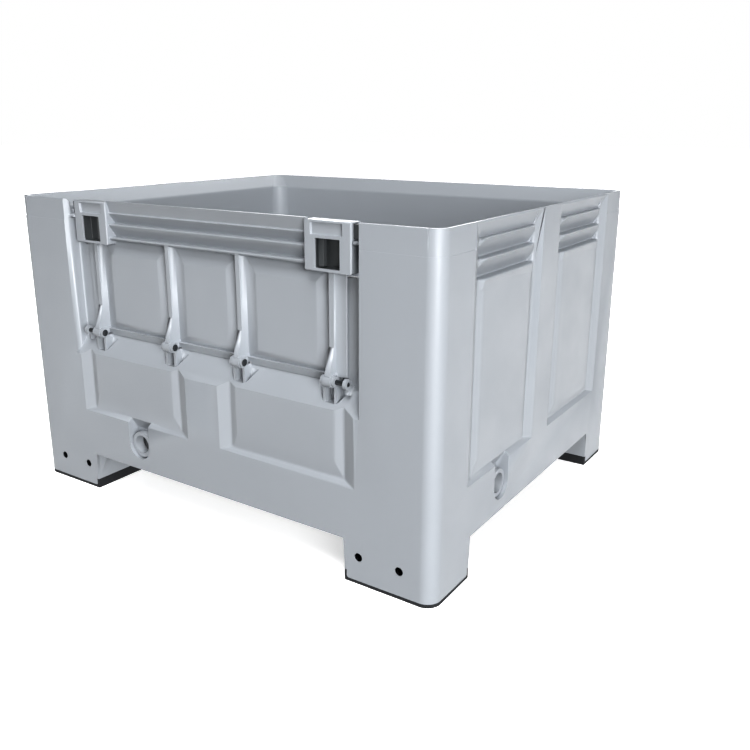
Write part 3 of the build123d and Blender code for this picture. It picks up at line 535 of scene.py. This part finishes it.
class CONTAINER_OT_hinge_pins(bpy.types.Operator):
    """Turn the hinge pins, each with a chamfered end and a domed head"""

    bl_idname = "container.hinge_pins"
    bl_label = "Turn Hinge Pins"

    def execute(self, context):
        sizes = context.scene.container_sizes
        for number in range(1, PIN_COUNT + 1):
            name = f"hinge_pin_{number}"
            low, high = (np.array(corner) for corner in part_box(name))
            length = high[0] - low[0]
            head = (high[2] - low[2]) / 2
            chamfer = sizes.fitting_edge
            under = length - sizes.pin_head
            shank = sizes.pin_radius
            stations = [(0, 0, 0), (0, shank - chamfer, 0), (chamfer, shank, 0), (under, shank, 0),
                        (under, head - chamfer, 0)]
            stations += dome(under + chamfer, length, head)
            middle = (low + high) / 2
            # Every pin has its head on the right, but for the last one
            tail, axis = (high[0], (-1, 0, 0)) if number == PIN_COUNT else (low[0], (1, 0, 0))
            grid = turned(stations, (tail, middle[1], middle[2]), axis)
            stand_for(grid_piece(name + "_turned", [grid]), name)
        return {"FINISHED"}


class CONTAINER_OT_latch_cups(bpy.types.Operator):
    """Round and finish the finger cups of the latches"""

    bl_idname = "container.latch_cups"
    bl_label = "Finish Latch Cups"

    def execute(self, context):
        for side in SIDES:
            rounded_copy("latch_cup_" + side, context.scene.container_sizes.fitting_edge)
        return {"FINISHED"}


class CONTAINER_OT_latch_bolts(bpy.types.Operator):
    """Round and finish the slide bolts with their grips"""

    bl_idname = "container.latch_bolts"
    bl_label = "Finish Latch Bolts"

    def execute(self, context):
        for side in SIDES:
            rounded_copy("latch_bolt_" + side, context.scene.container_sizes.fitting_edge)
        return {"FINISHED"}


class CONTAINER_OT_latch_covers(bpy.types.Operator):
    """Round and finish the plates behind the latches"""

    bl_idname = "container.latch_covers"
    bl_label = "Finish Latch Covers"

    def execute(self, context):
        for side in SIDES:
            rounded_copy("latch_cover_" + side, context.scene.container_sizes.fitting_edge)
        return {"FINISHED"}


def screw_places(node_name, radius):
    """The (x, z) middle of each screw in a node: the corners of its box, drawn in by one head radius."""
    low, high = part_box(node_name)
    xs = (low[0] + radius, high[0] - radius)
    zs = sorted({round(z, PLACE_DECIMALS) for z in (low[2] + radius, high[2] - radius)})
    return [(x, z) for x in xs for z in zs]


def screw_set(node_name, outward, radius, height, shank, hexagon, chamfer):
    """Turn the socket screws of one node, whose heads face the back where outward is 1, else the front."""
    low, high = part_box(node_name)
    face = high[1] if outward > 0 else low[1]
    stations = socket_screw(height, radius, low[1] - high[1] + height, shank, hexagon, chamfer)
    grids = [turned(stations, (x, face - outward * height, z), (0, outward, 0))
             for x, z in screw_places(node_name, radius)]
    stand_for(grid_piece(node_name + "_turned", grids), node_name)


class CONTAINER_OT_cover_screws(bpy.types.Operator):
    """Turn the four socket screws of each latch cover"""

    bl_idname = "container.cover_screws"
    bl_label = "Turn Cover Screws"

    def execute(self, context):
        sizes = context.scene.container_sizes
        for side in SIDES:
            screw_set("latch_screws_" + side, 1.0, sizes.cover_screw_radius, sizes.cover_screw_height,
                      sizes.cover_screw_shank, sizes.cover_screw_hex, sizes.cover_screw_chamfer)
        return {"FINISHED"}


class CONTAINER_OT_drain_plugs(bpy.types.Operator):
    """Round and finish the drain plugs"""

    bl_idname = "container.drain_plugs"
    bl_label = "Finish Drain Plugs"

    def execute(self, context):
        for place in DRAINS:
            rounded_copy("drain_plug_" + place, context.scene.container_sizes.fitting_edge)
        return {"FINISHED"}


class CONTAINER_OT_seal_rings(bpy.types.Operator):
    """Mould the seal ring of each drain plug"""

    bl_idname = "container.seal_rings"
    bl_label = "Mould Seal Rings"

    def execute(self, context):
        section = context.scene.container_sizes.seal_radius
        for place in DRAINS:
            name = "drain_seal_" + place
            low, high = (np.array(corner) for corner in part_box(name))
            axis = np.eye(3)[np.argmin(high - low)]
            radius = (high[2] - low[2]) / 2 - section
            turn = np.linspace(0, 2 * pi, SECTION_SIDES, endpoint=False)
            # A circle of the section's radius carried round the ring: rows run round the section
            stations = np.stack([section * np.sin(turn), radius + section * np.cos(turn), 0 * turn], axis=1)
            points, _ = turned(stations, (low + high) / 2, axis, sides=RING_SIDES)
            faces = grid_faces(SECTION_SIDES, RING_SIDES, closed=True)
            stand_for(grid_piece(name + "_ring", [(points, faces)]), name)
        return {"FINISHED"}


class CONTAINER_OT_shoes(bpy.types.Operator):
    """Round and finish the wear shoes"""

    bl_idname = "container.shoes"
    bl_label = "Finish Wear Shoes"

    def execute(self, context):
        for corner in CORNERS:
            rounded_copy("shoe_" + corner, context.scene.container_sizes.shoe_edge)
        return {"FINISHED"}


class CONTAINER_OT_shoe_screws(bpy.types.Operator):
    """Turn the two socket screws of each wear shoe"""

    bl_idname = "container.shoe_screws"
    bl_label = "Turn Shoe Screws"

    def execute(self, context):
        sizes = context.scene.container_sizes
        for corner in CORNERS:
            outward = 1.0 if corner.startswith("back") else -1.0
            screw_set("shoe_screws_" + corner, outward, sizes.shoe_screw_radius, sizes.shoe_screw_height,
                      sizes.shoe_screw_shank, sizes.shoe_screw_hex, sizes.shoe_screw_chamfer)
        return {"FINISHED"}


def soft_box(name, turn, lift, watts, stage):
    """A square area light that faces the container's middle, turned right from the front and lifted."""
    lamp = bpy.data.lights.new(name, "AREA")
    lamp.size = stage.box_size
    lamp.energy = watts
    box = bpy.data.objects.new(name, lamp)
    middle = (Vector(CAD_BOX[0]) + Vector(CAD_BOX[1])) / 2
    away = Vector((sin(turn) * cos(lift), -cos(turn) * cos(lift), sin(lift)))
    box.location = middle + stage.box_distance * away
    box.rotation_euler = (-away).to_track_quat("-Z", "Y").to_euler()
    bpy.context.scene.collection.objects.link(box)


class CONTAINER_OT_stage(bpy.types.Operator):
    """Lay a pale floor that glows of itself (painted light, dimmer under the container), hang the soft boxes
    and set up the camera
    """

    bl_idname = "container.stage"
    bl_label = "Set Stage"

    def execute(self, context):
        scene = context.scene
        stage = scene.container_stage
        reach = stage.floor_reach
        mesh = bpy.data.meshes.new("studio_floor")
        corners = [(-reach, -reach, 0), (reach, -reach, 0), (reach, reach, 0), (-reach, reach, 0)]
        mesh.from_pydata(corners, [], [(0, 1, 2, 3)])
        floor = bpy.data.objects.new("studio_floor", mesh)
        scene.collection.objects.link(floor)
        floor_glow, tree, shader, place = new_material("glowing_floor", Roughness=FLOOR_ROUGH,
                                                 Emission_Color=(*scene.container_colours.floor, 1.0),
                                                 Base_Color=(*scene.container_colours.floor, 1.0))
        # Painted light: the floor glows by itself, less under the container so that shade shows there and
        # more far off so that it turns white
        away = node(tree, "ShaderNodeVectorMath", {0: place}, operation="LENGTH").outputs["Value"]
        rise = node(tree, "ShaderNodeMapRange", {"Value": away, "From Min": stage.near_reach,
                                                 "From Max": stage.far_reach, "To Min": stage.near_glow,
                                                 "To Max": stage.far_glow}, interpolation_type="SMOOTHSTEP")
        tree.links.new(rise.outputs["Result"], shader.inputs["Emission Strength"])
        mesh.materials.append(floor_glow)
        # The floor shows and takes shadows, and the air's own glow lights the container from below
        floor.visible_diffuse = False
        floor.visible_shadow = False
        world = bpy.data.worlds.new("studio_air")
        world.use_nodes = True
        air = world.node_tree
        # The upward part of a direction runs from -1, straight down, to 1, straight up
        look = node(air, "ShaderNodeTexCoord").outputs["Generated"]
        upward = node(air, "ShaderNodeSeparateXYZ", {"Vector": look}).outputs["Z"]
        glow = node(air, "ShaderNodeMapRange", {"Value": upward, "From Min": -1.0, "From Max": 1.0,
                                                "To Min": stage.ground_glow, "To Max": stage.sky_glow})
        # The camera sees a white backdrop, whatever light the air gives
        seen = node(air, "ShaderNodeLightPath").outputs["Is Camera Ray"]
        shown = node(air, "ShaderNodeMix", {"Factor": seen, "A": glow.outputs["Result"],
                                            "B": stage.backdrop_glow})
        air.links.new(shown.outputs["Result"], air.nodes["Background"].inputs["Strength"])
        air.nodes["Background"].inputs["Color"].default_value = WHITE
        scene.world = world
        soft_box("key_box", stage.key_turn, stage.key_lift, stage.key_power, stage)
        soft_box("top_box", stage.top_turn, stage.top_lift, stage.top_power, stage)
        soft_box("back_box", stage.back_turn, stage.back_lift, stage.back_power, stage)
        camera = bpy.data.cameras.new("photo_camera")
        camera.lens = stage.camera_lens
        camera.shift_x, camera.shift_y = stage.camera_shift
        eye = bpy.data.objects.new("photo_camera", camera)
        eye.location = stage.camera_place
        eye.rotation_euler = (pi / 2 - stage.camera_tilt, 0.0, stage.camera_turn)
        scene.collection.objects.link(eye)
        scene.camera = eye
        scene.view_settings.view_transform = "Standard"
        scene.view_settings.gamma = stage.picture_gamma
        return {"FINISHED"}


STEPS = (CONTAINER_OT_tub, CONTAINER_OT_door, CONTAINER_OT_hinge_pins, CONTAINER_OT_latch_cups,
         CONTAINER_OT_latch_bolts, CONTAINER_OT_latch_covers, CONTAINER_OT_cover_screws,
         CONTAINER_OT_drain_plugs, CONTAINER_OT_seal_rings, CONTAINER_OT_shoes, CONTAINER_OT_shoe_screws,
         CONTAINER_OT_stage)


class CONTAINER_PT_finish(bpy.types.Panel):
    """The container's settings and the steps that build its looks"""

    bl_idname = "CONTAINER_PT_finish"
    bl_label = "Harvest Container"
    bl_space_type = "VIEW_3D"
    bl_region_type = "UI"
    bl_category = "Container"

    def draw(self, context):
        for settings in (context.scene.container_sizes, context.scene.container_colours,
                         context.scene.container_stage):
            box = self.layout.box()
            for name in settings.__annotations__:
                box.prop(settings, name)
        for step in STEPS:
            self.layout.operator(step.bl_idname)


CLASSES = (ContainerSizes, ContainerColours, ContainerStage) + STEPS + (CONTAINER_PT_finish,)


def register():
    for item in CLASSES:
        bpy.utils.register_class(item)
    bpy.types.Scene.container_sizes = bpy.props.PointerProperty(type=ContainerSizes)
    bpy.types.Scene.container_colours = bpy.props.PointerProperty(type=ContainerColours)
    bpy.types.Scene.container_stage = bpy.props.PointerProperty(type=ContainerStage)


def unregister():
    del bpy.types.Scene.container_stage
    del bpy.types.Scene.container_colours
    del bpy.types.Scene.container_sizes
    for item in reversed(CLASSES):
        bpy.utils.unregister_class(item)


def main():
    register()
    bpy.ops.container.tub()
    bpy.ops.container.door()
    bpy.ops.container.hinge_pins()
    bpy.ops.container.latch_cups()
    bpy.ops.container.latch_bolts()
    bpy.ops.container.latch_covers()
    bpy.ops.container.cover_screws()
    bpy.ops.container.drain_plugs()
    bpy.ops.container.seal_rings()
    bpy.ops.container.shoes()
    bpy.ops.container.shoe_screws()
    bpy.ops.container.stage()


if __name__ == "__main__":
    main()
